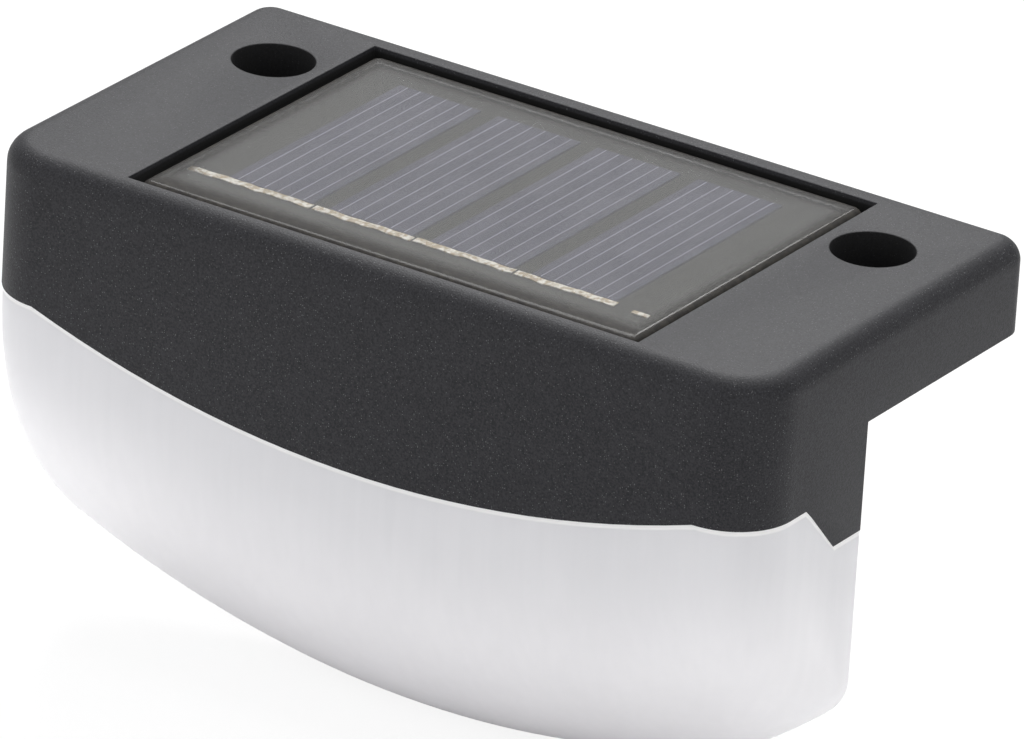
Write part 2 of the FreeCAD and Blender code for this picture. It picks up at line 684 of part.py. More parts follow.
# Circuit board on the back cover's posts, with its parts, the power switch and the button.
cover_face = "(-riser_reach - cover_height)"
board_back = f"({cover_face} - board_standoff)"
board_face = f"({board_back} - board_wall)"
board_blank = box("board_blank", "board_centre - board_width / 2", board_face, "board_top - board_height",
                  "board_width", "board_wall", "board_height")
post_holes = [rod(f"post_hole_{i}", "pilot_radius + 0.2", "board_wall + 2", across, f"{board_back} + 1",
                  post_level, "front") for i, across in enumerate(POSTS)]
circuit_board = part_cut("circuit_board", board_blank, *post_holes)

screw_set = []
for i, across in enumerate(POSTS):
    head = rod(f"board_screw_head_{i}", "screw_head_radius", "screw_head_height", across, board_face,
               post_level, "front")
    shank = rod(f"board_screw_shank_{i}", "pilot_radius - 0.05", "board_screw_length", across,
                f"{board_face} + board_screw_length", post_level, "front")
    screw_set.append(part_fuse(f"board_screw_{i}", head, shank))
board_screws = group("board_screws", screw_set)

lamps = []
led_up = "(board_top - board_height + led_radius + led_collar)"
for i, sign in enumerate((-1, 1)):
    across = f"board_centre + {sign} * led_pitch / 2"
    barrel = rod(f"led_barrel_{i}", "led_radius", "led_length", across, board_face, led_up, "front")
    collar = rod(f"led_collar_{i}", "led_radius + collar_rim", "led_collar", across, board_face,
                 led_up, "front")
    dome = doc.addObject("Part::Sphere", f"led_dome_{i}")
    bind(dome, "Radius", "led_radius")
    set_at(dome, across, f"{board_face} - led_length", led_up)
    lamps.append(part_fuse(f"led_{i}", barrel, collar, dome))
leds = group("leds", lamps)

drive_chip = box("drive_chip", "board_centre + board_width / 5", board_back, "board_top - board_height / 2",
                 "chip_width", "chip_depth", "chip_height")
coil_left, coil_up = "board_centre - board_width / 3", "board_top - 0.6 * board_height"
coil_body = rod("coil_body", "coil_radius", "coil_length", coil_left, f"{board_back} + coil_radius + 0.1",
                coil_up, "x")
coil_feet = [box(f"coil_foot_{i}", f"{coil_left} + {left}", board_back, f"{coil_up} - coil_foot / 2",
                 "coil_foot", "coil_radius", "coil_foot")
             for i, left in enumerate(("0.2 * coil_foot", "coil_length - 1.2 * coil_foot"))]
coil_inductor = part_fuse("coil_inductor", coil_body, *coil_feet)
chip_parts = group("chip_parts", [
    box(f"chip_part_{i}", f"board_centre + {share} * board_width", board_back, "board_top - 0.85 * board_height",
        "small_width", "small_depth", "small_height")
    for i, share in enumerate((-0.1, 0.17, 0.26))])

button_up = "-button_drop"
switch_block = box("switch_block", "board_centre - switch_size / 2", board_back,
                   f"{button_up} - switch_size / 2", "switch_size", "switch_height", "switch_size")
switch_bore = rod("switch_bore", "plunger_radius + 0.3", "switch_height - 0.3", "board_centre",
                  f"{board_back} + switch_height + 0.01", button_up, "front")
switch_case = part_cut("switch_case", switch_block, switch_bore)
cap_back = f"({cover_face} - 0.2)"
cap_stem = f"({board_back} + switch_height + 0.4)"
switch_plunger = rod("switch_plunger", "plunger_radius", "1.6", "board_centre", cap_stem, button_up, "front")
cap_disc = rod("cap_disc", "button_radius", "cover_height + 0.4 - button_sink", "board_centre",
               "-riser_reach - button_sink", button_up, "front")
cap_flange = rod("cap_flange", "button_flange", "0.5", "board_centre", cap_back, button_up, "front")
cap_boss = rod("cap_boss", "plunger_radius", f"{cap_back} - {cap_stem}", "board_centre", cap_back,
               button_up, "front")
button_cap = part_fuse("button_cap", cap_disc, cap_flange, cap_boss)

# Cover screws, up through the plate into the housing's bosses.
screw_set = []
for i, (across, depth) in enumerate(BOSSES):
    head = rod(f"cover_screw_head_{i}", "screw_head_radius", "screw_head_height", across, depth, "0.1")
    shank = rod(f"cover_screw_shank_{i}", "pilot_radius - 0.05", "cover_screw_length", across, depth, "0.1")
    slot = box(f"cover_screw_slot_{i}", f"{across} - slot_width / 2", f"{depth} - slot_length / 2", "0",
               "slot_width", "slot_length", "slot_width")
    screw_set.append(part_cut(f"cover_screw_{i}", part_fuse(f"cover_screw_blank_{i}", head, shank), slot))
cover_screws = group("cover_screws", screw_set)

# ---------------------------------------------------------------------------------------------
# Leads: straight runs joined by tangent arcs.

def lead(name, stops):
    """A round lead through stops given as triples of formulas."""
    points = [Vector(*[value(formula) for formula in stop]) for stop in stops]
    radius = value("wire_radius")
    edges, start = [], points[0]
    for before, corner, after in zip(points, points[1:], points[2:]):
        come, go = (corner - before), (after - corner)
        turn = come.getAngle(go)
        arc_radius = 0.45 * min(come.Length, go.Length) / math.tan(turn / 2)
        set_back = arc_radius * math.tan(turn / 2)
        come.normalize()
        go.normalize()
        first, last = corner - come * set_back, corner + go * set_back
        middle = (go - come).normalize()
        top = corner + middle * (arc_radius / math.cos(turn / 2) - arc_radius)
        edges.append(Part.LineSegment(start, first).toShape())
        edges.append(Part.Arc(first, top, last).toShape())
        start = last
    edges.append(Part.LineSegment(start, points[-1]).toShape())
    path = Part.Wire(edges)
    end = Part.Wire(Part.makeCircle(radius, points[0], points[1] - points[0]))
    solid = path.makePipeShell([end], True, True)
    if abs(solid.Volume - math.pi * radius ** 2 * path.Length) > 0.02 * solid.Volume:
        raise RuntimeError(f"{name} folds on itself")
    feature = doc.addObject("Part::Feature", name)
    feature.Label = name
    feature.Shape = solid
    return feature


solder_up = "-solder_drop"
panel_leads = [lead(name, [(place, "-wire_reach", board_low), (place, "-wire_reach", solder_up),
                           (place, board_face, solder_up)])
               for name, place in (("panel_wire_red", "wire_across - wire_pitch / 2"),
                                   ("panel_wire_black", "wire_across + wire_pitch / 2"))]
tab_level = f"{battery_up} - tab_below + 3 * wire_radius"
plus_face = f"{battery_left} + battery_length + tab_wall"
minus_face = f"{battery_left} - tab_wall"
battery_wire_red = lead("battery_wire_red", [
    (plus_face, battery_back, tab_level),
    (f"{plus_face} + lead_run", battery_back, tab_level),
    (f"{plus_face} + lead_run", board_face, tab_level)])
lane, low_lane = f"{board_back} + lead_clearance", f"{tab_level} - lead_sink"
board_edge = "board_centre - board_width / 2 + lead_clearance"
battery_wire_black = lead("battery_wire_black", [
    (minus_face, battery_back, tab_level),
    (f"{minus_face} - lead_run", battery_back, tab_level),
    (f"{minus_face} - lead_run", lane, low_lane),
    (board_edge, lane, low_lane),
    (board_edge, board_back, low_lane)])

# ---------------------------------------------------------------------------------------------
# One file for each piece.

doc.recompute()
nodes = [top_housing, back_cover, lens, cover_screws, panel_tape, panel_board, solar_cells,
         cell_ribbons, panel_resin, battery_cell, battery_sleeve, battery_pad, battery_tabs,
         battery_wire_red, battery_wire_black, *panel_leads, circuit_board, board_screws, leds,
         drive_chip, coil_inductor, chip_parts, switch_case, switch_plunger, button_cap]
for thing in doc.Objects:
    if "Invalid" in thing.State or "Error" in thing.State:
        raise RuntimeError(f"{thing.Label} doesn't recompute: {thing.State}")
for node in nodes:
    if node.Shape.isNull() or not node.Shape.isValid() or not node.Shape.Solids:
        raise RuntimeError(f"{node.Label} has no sound solid")
os.makedirs("parts", exist_ok=True)
for node in nodes:
    node.Shape.exportStep(f"parts/{node.Label}.step")
    print(node.Label, len(node.Shape.Solids), round(node.Shape.Volume, 1))
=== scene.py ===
import math

import bmesh
import bpy
from mathutils import Matrix, Vector


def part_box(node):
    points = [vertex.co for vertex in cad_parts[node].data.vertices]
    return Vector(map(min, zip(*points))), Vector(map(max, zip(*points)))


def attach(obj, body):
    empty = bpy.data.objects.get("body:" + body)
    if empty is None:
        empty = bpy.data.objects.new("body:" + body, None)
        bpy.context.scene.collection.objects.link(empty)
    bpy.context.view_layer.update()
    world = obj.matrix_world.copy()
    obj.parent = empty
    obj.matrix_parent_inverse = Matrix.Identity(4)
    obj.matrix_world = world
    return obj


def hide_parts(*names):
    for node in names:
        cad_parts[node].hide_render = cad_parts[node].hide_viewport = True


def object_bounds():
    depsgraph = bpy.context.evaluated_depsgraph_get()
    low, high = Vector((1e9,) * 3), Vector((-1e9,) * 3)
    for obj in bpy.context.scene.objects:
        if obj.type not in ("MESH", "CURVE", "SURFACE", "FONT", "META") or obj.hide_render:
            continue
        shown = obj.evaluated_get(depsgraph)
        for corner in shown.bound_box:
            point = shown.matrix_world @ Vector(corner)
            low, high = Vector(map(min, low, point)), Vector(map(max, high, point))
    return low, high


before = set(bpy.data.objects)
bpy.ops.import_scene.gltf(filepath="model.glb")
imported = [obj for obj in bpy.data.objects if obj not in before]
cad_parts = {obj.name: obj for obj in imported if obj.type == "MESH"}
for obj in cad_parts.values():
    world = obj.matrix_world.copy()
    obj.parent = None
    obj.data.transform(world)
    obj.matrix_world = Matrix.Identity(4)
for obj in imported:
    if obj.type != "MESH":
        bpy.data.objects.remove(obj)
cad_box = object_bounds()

# Camera. The light is photographed from its front right, a little above: 32 degrees round and
# 24 degrees up, from well back, with the camera rolled by a few degrees.
AZIMUTH, ELEVATION, ROLL = math.radians(32.022), math.radians(24.423), math.radians(3.568)
CAMERA_DISTANCE = 1.3628
FOCAL_PIXELS, IMAGE_WIDTH = 12787.0, 1024
SENSOR = 36.0
CLIP_NEAR, CLIP_FAR = 0.1, 20
PANEL_MIDDLE = Vector((0, -0.0128, -0.0013))
AIM_RIGHT, AIM_DOWN = 0.00161, 0.00815
right = Vector((math.cos(AZIMUTH), math.sin(AZIMUTH), 0))
into = Vector((-math.sin(AZIMUTH) * math.cos(ELEVATION), math.cos(AZIMUTH) * math.cos(ELEVATION),
               -math.sin(ELEVATION)))
above = right.cross(into)
across = right * math.cos(ROLL) + above * math.sin(ROLL)
upward = above * math.cos(ROLL) - right * math.sin(ROLL)
target = PANEL_MIDDLE + across * AIM_RIGHT - upward * AIM_DOWN
camera = bpy.data.objects.new("camera", bpy.data.cameras.new("camera"))
camera.data.lens = FOCAL_PIXELS * SENSOR / IMAGE_WIDTH
camera.data.sensor_width = SENSOR
camera.data.clip_start, camera.data.clip_end = CLIP_NEAR, CLIP_FAR
camera.matrix_world = Matrix.Translation(target - into * CAMERA_DISTANCE) @ Matrix(
    (across, upward, -into)).transposed().to_4x4()
bpy.context.collection.objects.link(camera)
bpy.context.scene.camera = camera

# Top housing: one dark grey moulding in filled polypropylene. Spark-eroded tool walls leave a fine
# matt grain on it, with pale specks of filler, and its edges are just broken. The walls of the
# recess and of the two head wells are painted near-black and made rougher: painted shade.
MM = 0.001
GRAIN, SPECK, MOTTLE = 0.20 * MM, 0.24 * MM, 4.0 * MM
EDGE_RADIUS = 0.16 * MM
HOUSING_DARK, HOUSING_PALE = (0.004, 0.004, 0.006, 1), (0.024, 0.024, 0.028, 1)
SPECK_PALE, SHADOWED = (0.30, 0.30, 0.31, 1), (0.002, 0.002, 0.002, 1)
WELL_X, WELL_RADIUS = 38.4 * MM, 4.6 * MM
RECESS_X, RECESS_Y, RECESS_MIDDLE = 32.4 * MM, 23.5 * MM, -12.8 * MM
RECESS_FLOOR, RECESS_TOP = 6.0 * MM, 10.4 * MM


class Sock:
    """A socket of a node tree, with the arithmetic that the finishes use."""

    def __init__(self, tree, socket):
        self.tree, self.socket = tree, socket

    def node(self, kind, settings=None, out=0, **inputs):
        """Adds a node of this kind: its settings first, then the values or links of its sockets.

        A socket goes by its own name, or by its number after an i.
        """
        node = self.tree.nodes.new(kind)
        for name, setting in (settings or {}).items():
            setattr(node, name, setting)
        for name, what in inputs.items():
            socket = node.inputs[int(name[1:]) if name[1:].isdigit() else name.replace("_", " ")]
            if isinstance(what, Sock):
                self.tree.links.new(what.socket, socket)
            else:
                socket.default_value = what
        return Sock(self.tree, node.outputs[out])

    def maths(self, operation, a, b=0.0):
        return self.node("ShaderNodeMath", {"operation": operation}, i0=a, i1=b)

    def vector(self, operation, other=(0, 0, 0), out=0):
        return self.node("ShaderNodeVectorMath", {"operation": operation}, out, i0=self, i1=other)

    def __add__(self, other):
        return self.maths("ADD", self, other)

    def __sub__(self, other):
        return self.maths("SUBTRACT", self, other)

    def __rsub__(self, other):
        return self.maths("SUBTRACT", other, self)

    def __mul__(self, other):
        return self.maths("MULTIPLY", self, other)

    __radd__ = __add__
    __rmul__ = __mul__

    def __abs__(self):
        return self.maths("ABSOLUTE", self)

    def most(self, other):
        return self.maths("MAXIMUM", self, other)

    def least(self, other):
        return self.maths("MINIMUM", self, other)

    def axis(self, number):
        """The x, y or z of this place, by number."""
        return self.node("ShaderNodeSeparateXYZ", out=number, Vector=self)

    def steps(self, low, high):
        """0 below low, 1 above high and smooth between them."""
        return self.node("ShaderNodeMapRange", {"interpolation_type": "SMOOTHSTEP"},
                         Value=self, From_Min=low, From_Max=high)

    def tint(self, low, high):
        """Low where this is 0 and high where it is 1; either is a colour or a link."""
        return self.node("ShaderNodeMix", {"data_type": "RGBA"}, 2, i0=self, i6=low, i7=high)


def new_material(name):
    """A material, its shader, and the place on the piece that its patterns read."""
    material = bpy.data.materials.new(name)
    material.use_nodes = True
    tree = material.node_tree
    place = Sock(tree, tree.nodes.new("ShaderNodeTexCoord").outputs["Object"])
    return material, tree.nodes["Principled BSDF"], place


def feed(shader, **inputs):
    """Sets the shader's sockets: a link where the finish varies, otherwise the value itself."""
    for name, what in inputs.items():
        socket = shader.inputs[name.replace("_", " ")]
        if isinstance(what, Sock):
            what.tree.links.new(what.socket, socket)
        else:
            socket.default_value = what


def noise(place, size, detail=2.0, roughness=0.5):
    """Fractal noise from 0 to 1 whose blotches are about this size, in metres."""
    return place.node("ShaderNodeTexNoise", Vector=place, Scale=1 / size, Detail=detail,
                      Roughness=roughness)


def bumped(place, height, distance, strength=1.0):
    return place.node("ShaderNodeBump", Height=height, Distance=distance, Strength=strength)


def as_piece(name, built, sharp=38):
    """A finished mesh, smooth but for its sharp edges, at the origin of the frame."""
    mesh = bpy.data.meshes.new(name)
    built.to_mesh(mesh)
    built.free()
    piece = bpy.data.objects.new(name, mesh)
    bpy.context.collection.objects.link(piece)
    mesh.shade_smooth()
    mesh.set_sharp_from_angle(angle=math.radians(sharp))
    return piece


housing_plastic, shader, place = new_material("housing_plastic")
grain = noise(place, GRAIN, 3.0, 0.6)
mottle = noise(place, MOTTLE, 3.0)
from_fleck = place.node("ShaderNodeTexVoronoi", Vector=place, Scale=1 / SPECK)
fleck_colour = place.node("ShaderNodeTexVoronoi", out=1, Vector=place, Scale=1 / SPECK)
chosen = fleck_colour.node("ShaderNodeSeparateColor", Color=fleck_colour).steps(0.62, 0.90)
speck = chosen * (1 - from_fleck.steps(0.10, 0.30))
plastic = (mottle * 0.12 + grain * 0.88).steps(0.32, 0.68).tint(HOUSING_DARK, HOUSING_PALE)
# Painted shade: the recess walls and the two head wells get a near-black colour, placed by position.
folded = place.vector("ABSOLUTE")
from_well = folded.vector("MULTIPLY", (1, 1, 0)).vector("DISTANCE", (WELL_X, 0, 0), out=1)
well = 1 - from_well.steps(WELL_RADIUS - 0.1 * MM, WELL_RADIUS + 0.2 * MM)
recess = 1 - folded.axis(0).steps(RECESS_X, RECESS_X + 0.1 * MM)
recess = recess * (1 - abs(place.axis(1) - RECESS_MIDDLE).steps(RECESS_Y, RECESS_Y + 0.1 * MM))
recess = recess * (1 - place.axis(2).steps(RECESS_TOP - 0.4 * MM, RECESS_TOP))
recess = recess * place.axis(2).steps(RECESS_FLOOR, RECESS_FLOOR + 0.4 * MM)
painted_shade = well.most(recess)
feed(shader, Base_Color=painted_shade.tint((speck * 0.42).tint(plastic, SPECK_PALE), SHADOWED),
     Roughness=mottle * 0.05 + 0.53 + painted_shade * 0.3, Specular_IOR_Level=0.27,
     Normal=bumped(place, grain + speck * 0.5, 0.06 * MM, 0.8))

MERGE, FLAT, HARD = 0.002 * MM, math.radians(0.6), math.radians(50)
built = bmesh.new()
built.from_mesh(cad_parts["top_housing"].data)
bmesh.ops.remove_doubles(built, verts=built.verts, dist=MERGE)
bmesh.ops.dissolve_limit(built, angle_limit=FLAT, verts=built.verts, edges=built.edges)
hard_edges = [edge for edge in built.edges if len(edge.link_faces) == 2 and edge.calc_face_angle() > HARD]
bmesh.ops.bevel(built, geom=hard_edges, offset=EDGE_RADIUS, offset_type="OFFSET", segments=3,
                profile=0.5, affect="EDGES", clamp_overlap=True)
housing = as_piece("housing_shell", built, 60)
housing.data.materials.append(housing_plastic)
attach(housing, "light")
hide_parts("top_housing")


# Back cover: an L-shaped plate that closes the housing behind and below. It is moulded in the same
# plastic with the same grain, and four screws hold it from below.


def dress(node, material):
    """Gives a carried-over CAD node its finish."""
    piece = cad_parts[node]
    piece.data.materials.clear()
    piece.data.materials.append(material)


dress("back_cover", housing_plastic)

# Lens: a deep cup moulded in white translucent polycarbonate. A lip stands up inside the housing,
# which snaps over it. Below the parting line the front falls straight, then curls under to the
# riser in one long curve, and the whole belly follows a wide arc. These sizes are in millimetres.
LENS_SIDE, LENS_FRONT, LENS_REAR = 49.4, -38.8, -17.25
LENS_BOTTOM, BELLY_ARC = -46.99, 111.0
HIP_RADIUS, TOE_RADIUS, SETBACK, SIDE_HEEL = 32.0, 4.0, 18.4, 5.5
CORNER, FOOT_FLAT = 7.2, 0.4
SMILE_HALF, SMILE_LOW, SIDE_LEVEL = 42.0, -13.3, -6.3
TAB_START, TAB_FOOT, TAB_LEVEL = -28.4, -22.5, -12.5
LIP_RISE, LIP_STEP, LENS_WALL = 2.6, 1.1, 1.0
ROWS_DOWN, SIDE_STEPS, CORNER_STEPS, FRONT_STEPS = 34, 14, 10, 36
LENS_SHADED_TOP, LENS_LIT_BOTTOM = (0.700, 0.698, 0.725, 1), (0.94, 0.925, 0.955, 1)
RIM_HIGHLIGHT_WHITE = (0.95, 0.95, 0.95, 1)


def parting_height(x, y):
    """Height of the parting line where it passes over this point of the plan."""
    if y > TAB_FOOT:
        return TAB_LEVEL
    if y > TAB_START:
        return SIDE_LEVEL + (TAB_LEVEL - SIDE_LEVEL) * (y - TAB_START) / (TAB_FOOT - TAB_START)
    if abs(x) > SMILE_HALF or y > LENS_FRONT + CORNER:
        return SIDE_LEVEL
    sag = SIDE_LEVEL - SMILE_LOW
    radius = (SMILE_HALF ** 2 + sag ** 2) / (2 * sag)
    return SMILE_LOW + radius - math.sqrt(radius ** 2 - x ** 2)


def belly_rise(x):
    return BELLY_ARC - math.sqrt(BELLY_ARC ** 2 - x ** 2)


def front_setback(level):
    """How far the front has drawn back at this height: the hip's arc, then the toe's."""
    toe_z = LENS_BOTTOM + TOE_RADIUS
    hip_z = toe_z + math.sqrt((HIP_RADIUS - TOE_RADIUS) ** 2 - (HIP_RADIUS - SETBACK) ** 2)
    if level >= hip_z:
        return 0.0
    slope = math.atan2(hip_z - toe_z, HIP_RADIUS - SETBACK)
    if level > toe_z - TOE_RADIUS * math.sin(slope):
        return HIP_RADIUS - math.sqrt(HIP_RADIUS ** 2 - (hip_z - level) ** 2)
    return SETBACK - math.sqrt(max(0.0, TOE_RADIUS ** 2 - (toe_z - level) ** 2))


def side_inset(level):
    heel_z = LENS_BOTTOM + SIDE_HEEL
    if level >= heel_z:
        return 0.0
    return SIDE_HEEL - math.sqrt(max(0.0, SIDE_HEEL ** 2 - (heel_z - level) ** 2))


def plan_point(turn, side, front):
    """A point of the plan: 0 to 1 is the left side, to 2 its corner, to 3 the front, and mirrored."""
    mirrored = turn > 2.5
    corner = min(CORNER, LENS_REAR - front - FOOT_FLAT)
    along = 5 - turn if mirrored else turn
    if along <= 1:
        x, y = -side, LENS_REAR + (front + corner - LENS_REAR) * along
    elif along <= 2:
        angle = (along - 1) * math.pi / 2
        x = -side + corner * (1 - math.cos(angle))
        y = front + corner * (1 - math.sin(angle))
    else:
        x, y = (-side + corner) * (1 - (along - 2) * 2), front
    return (-x, y) if mirrored else (x, y)


turns = [i / SIDE_STEPS for i in range(SIDE_STEPS + 1)]
turns += [1 + i / CORNER_STEPS for i in range(1, CORNER_STEPS + 1)]
turns += [2 + i / FRONT_STEPS for i in range(1, FRONT_STEPS // 2 + 1)]
turns += [5 - turn for turn in reversed(turns[:-1])]


def lens_ring(depth):
    """Points round the front and sides at this share of the way from parting line to bottom."""
    ring = []
    for turn in turns:
        x, y = plan_point(turn, LENS_SIDE, LENS_FRONT)
        top = parting_height(x, y) - belly_rise(x)
        level = top + (LENS_BOTTOM - top) * depth
        x_now, y_now = plan_point(turn, LENS_SIDE - side_inset(level), LENS_FRONT + front_setback(level))
        ring.append(Vector((x_now, y_now, level + belly_rise(x))))
    return ring


shell = bmesh.new()
from_parting = shell.verts.layers.float.new("from_parting")
rings = [lens_ring(math.sin(math.pi / 2 * row / ROWS_DOWN)) for row in range(ROWS_DOWN + 1)]
below = []
for ring in rings:
    row = []
    for start, point in zip(rings[0], ring):
        vertex = shell.verts.new(point * MM)
        vertex[from_parting] = (start - point).length * MM
        row.append(vertex)
    below.append(row)
lip = []
for lift in (LIP_RISE, 0.0):
    row = []
    for turn, start in zip(turns, rings[0]):
        x, y = plan_point(turn, LENS_SIDE - LIP_STEP, LENS_FRONT + LIP_STEP)
        row.append(shell.verts.new(Vector((x, min(y, LENS_REAR - LIP_STEP), start.z + lift)) * MM))
    lip.append(row)
rows = lip + below
for upper, lower in zip(rows, rows[1:]):
    for i in range(len(turns) - 1):
        shell.faces.new((upper[i], lower[i], lower[i + 1], upper[i + 1]))

# The foot runs back from the lowest row to the rear wall, which is one flat face.
SAME_PLACE = 1e-7
foot_front = below[-1]
foot_rear = [shell.verts.new((vertex.co.x, LENS_REAR * MM, vertex.co.z)) for vertex in foot_front]
for i in range(len(turns) - 1):
    if abs(foot_front[i].co.x - foot_front[i + 1].co.x) > SAME_PLACE:
        shell.faces.new((foot_front[i], foot_rear[i], foot_rear[i + 1], foot_front[i + 1]))
for front_vertex, rear_vertex in zip(foot_front, foot_rear):
    rear_vertex[from_parting] = front_vertex[from_parting]
left_edge, right_edge = [row[0] for row in below], [row[-1] for row in below]
low_edge = [b for a, b in zip(foot_rear, foot_rear[1:]) if b.co.x - a.co.x > SAME_PLACE]
shell.faces.new(right_edge + list(reversed(low_edge[:-1])) + list(reversed(left_edge)))
bmesh.ops.remove_doubles(shell, verts=shell.verts, dist=0.01 * MM)
shell.normal_update()

lens_plastic, shader, place = new_material("lens_plastic")
edge = place.node("ShaderNodeAttribute", {"attribute_name": "from_parting"}, 2)
# Painted highlight: a thin white band just below the parting line, for light on the rounded lip.
rim_highlight = 1 - edge.steps(0.4 * MM, 0.7 * MM)
cloud = noise(place, 12 * MM)
streaks = noise(place.node("ShaderNodeMapping", Vector=place, Scale=(1, 1, 0.06)), 1.2 * MM)
tone = (cloud * 0.6 + streaks * 0.4).steps(0.3, 0.7)
# Painted shade and light: darker near the parting line and paler towards the bottom, with a little random
# cloud.
painted_falloff_and_tone = edge.steps(1 * MM, 20 * MM) * 0.88 + tone * 0.12
feed(shader, Base_Color=rim_highlight.tint(painted_falloff_and_tone.tint(LENS_SHADED_TOP, LENS_LIT_BOTTOM), RIM_HIGHLIGHT_WHITE),
     Roughness=streaks * 0.06 + 0.34, Subsurface_Weight=0.3, Subsurface_Scale=3 * MM,
     Subsurface_Radius=(1, 1, 1),
     Normal=bumped(place, noise(place, 0.6 * MM) + streaks, 0.03 * MM, 0.25))
lens = as_piece("lens_shell", shell)
wall = lens.modifiers.new("wall", "SOLIDIFY")
wall.thickness, wall.offset = LENS_WALL * MM, -1
lens.data.materials.append(lens_plastic)
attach(lens, "light")
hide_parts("lens")

# Solar cells: four dark silicon strips, cut from one wafer and glued side by side to their board.
# The crystal shows as a faint grain along each strip. They lie in the resin, so they have no shine.
SILICON_DARK, SILICON_PALE = (0.050, 0.051, 0.078, 1), (0.078, 0.079, 0.108, 1)
cell_silicon, shader, place = new_material("cell_silicon")
crystal = noise(place.node("ShaderNodeMapping", Vector=place, Scale=(1, 0.4, 1)), 2.5 * MM)
feed(shader, Base_Color=crystal.steps(0.3, 0.7).tint(SILICON_DARK, SILICON_PALE),
     Roughness=crystal * 0.1 + 0.30, Specular_IOR_Level=0.0, Normal=bumped(place, crystal, 0.01 * MM, 0.3))
dress("solar_cells", cell_silicon)

# Panel board: grey-brown glass laminate under the cells. Its margin shows through the resin. At
# the rear, the left and less at the right it is painted paler, as a painted reflection of the resin's
# rolled edge, with brown specks of dust in it.
LAMINATE_DARK, LAMINATE_PALE = (0.030, 0.030, 0.025, 1), (0.040, 0.040, 0.034, 1)
SHEEN_PALE, DUST_BROWN = (0.070, 0.062, 0.050, 1), (0.012, 0.008, 0.005, 1)
board_low, board_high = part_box("panel_board")
panel_laminate, shader, place = new_material("panel_laminate")
rear_band = place.axis(1).steps(board_high.y - 2.6 * MM, board_high.y - 1.4 * MM)
left_band = 1 - place.axis(0).steps(board_low.x + 1.2 * MM, board_low.x + 2.4 * MM)
right_band = place.axis(0).steps(board_high.x - 2.2 * MM, board_high.x - 1.2 * MM) * 0.6
dust = noise(place, 0.7 * MM, 4.0, 0.7).steps(0.50, 0.62)
weave = noise(place, 0.4 * MM)
# Painted reflection: a paler band round the margin, spotted with brown dust.
painted_sheen_and_dust = (dust * 0.8).tint(SHEEN_PALE, DUST_BROWN)
sheen_band = rear_band.most(left_band.most(right_band))
feed(shader, Base_Color=sheen_band.tint(weave.tint(LAMINATE_DARK, LAMINATE_PALE), painted_sheen_and_dust),
     Roughness=weave * 0.1 + 0.55, Specular_IOR_Level=0.0,
     Normal=bumped(place, dust + weave, 0.03 * MM, 0.4))
dress("panel_board", panel_laminate)

# Fingers: six silver lines printed along each cell, thin enough to leave the silicon in the light.
# A node tree lays out one cell's lines and repeats them for each cell.
cells_low, cells_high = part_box("solar_cells")
CELL_WIDTH, CELL_COUNT = 10.6 * MM, 4
CELL_PITCH = (cells_high.x - cells_low.x - CELL_WIDTH) / (CELL_COUNT - 1)
FINGERS, FINGER_PITCH = 6, CELL_WIDTH * 0.158
FINGER_WIDTH, FINGER_HEIGHT, FINGER_RAISED = 0.10 * MM, 0.03 * MM, 0.012 * MM
FINGER_LENGTH = cells_high.y - cells_low.y - 0.3 * MM
INPUTS = [("Cells", "NodeSocketInt", CELL_COUNT), ("Cell Pitch", "NodeSocketFloat", CELL_PITCH),
          ("Fingers", "NodeSocketInt", FINGERS), ("Finger Pitch", "NodeSocketFloat", FINGER_PITCH),
          ("Width", "NodeSocketFloat", FINGER_WIDTH), ("Height", "NodeSocketFloat", FINGER_HEIGHT),
          ("Length", "NodeSocketFloat", FINGER_LENGTH)]
silver_print, shader, place = new_material("silver_print")
paste = noise(place, 0.3 * MM)
feed(shader, Base_Color=paste.tint((0.26, 0.26, 0.32, 1), (0.38, 0.38, 0.44, 1)),
     Roughness=paste * 0.1 + 0.4, Specular_IOR_Level=0.0)
finger_rows = bpy.data.node_groups.new("finger_rows", "GeometryNodeTree")
finger_rows.is_modifier = True
sockets = {}
for name, kind, _ in INPUTS:
    sockets[name] = finger_rows.interface.new_socket(name, in_out="INPUT", socket_type=kind)
finger_rows.interface.new_socket("Geometry", in_out="OUTPUT", socket_type="NodeSocketGeometry")
given = finger_rows.nodes.new("NodeGroupInput").outputs


def grow(kind, **inputs):
    """Adds a geometry node with the values or links of its sockets."""
    node = finger_rows.nodes.new(kind)
    for name, what in inputs.items():
        socket = node.inputs[name.replace("_", " ")]
        if isinstance(what, bpy.types.NodeSocket):
            finger_rows.links.new(what, socket)
        else:
            socket.default_value = what
    return node.outputs[0]


def repeated(shape, count, pitch):
    """This shape, repeated at this pitch along x and made real."""
    line = grow("GeometryNodeMeshLine", Count=count, Offset=grow("ShaderNodeCombineXYZ", X=pitch))
    copies = grow("GeometryNodeInstanceOnPoints", Points=line, Instance=shape)
    return grow("GeometryNodeRealizeInstances", Geometry=copies)


size = grow("ShaderNodeCombineXYZ", X=given["Width"], Y=given["Length"], Z=given["Height"])
bar = grow("GeometryNodeMeshCube", Size=size)
one_cell = repeated(bar, given["Fingers"], given["Finger Pitch"])
all_cells = repeated(one_cell, given["Cells"], given["Cell Pitch"])
first_finger = Vector((cells_low.x + CELL_WIDTH / 2 - FINGER_PITCH * (FINGERS - 1) / 2,
                       (cells_low.y + cells_high.y) / 2, cells_high.z + FINGER_RAISED))
placed = grow("GeometryNodeTransform", Geometry=all_cells, Translation=first_finger)
finished = grow("GeometryNodeSetMaterial", Geometry=placed, Material=silver_print)
finger_rows.links.new(finished, finger_rows.nodes.new("NodeGroupOutput").inputs[0])

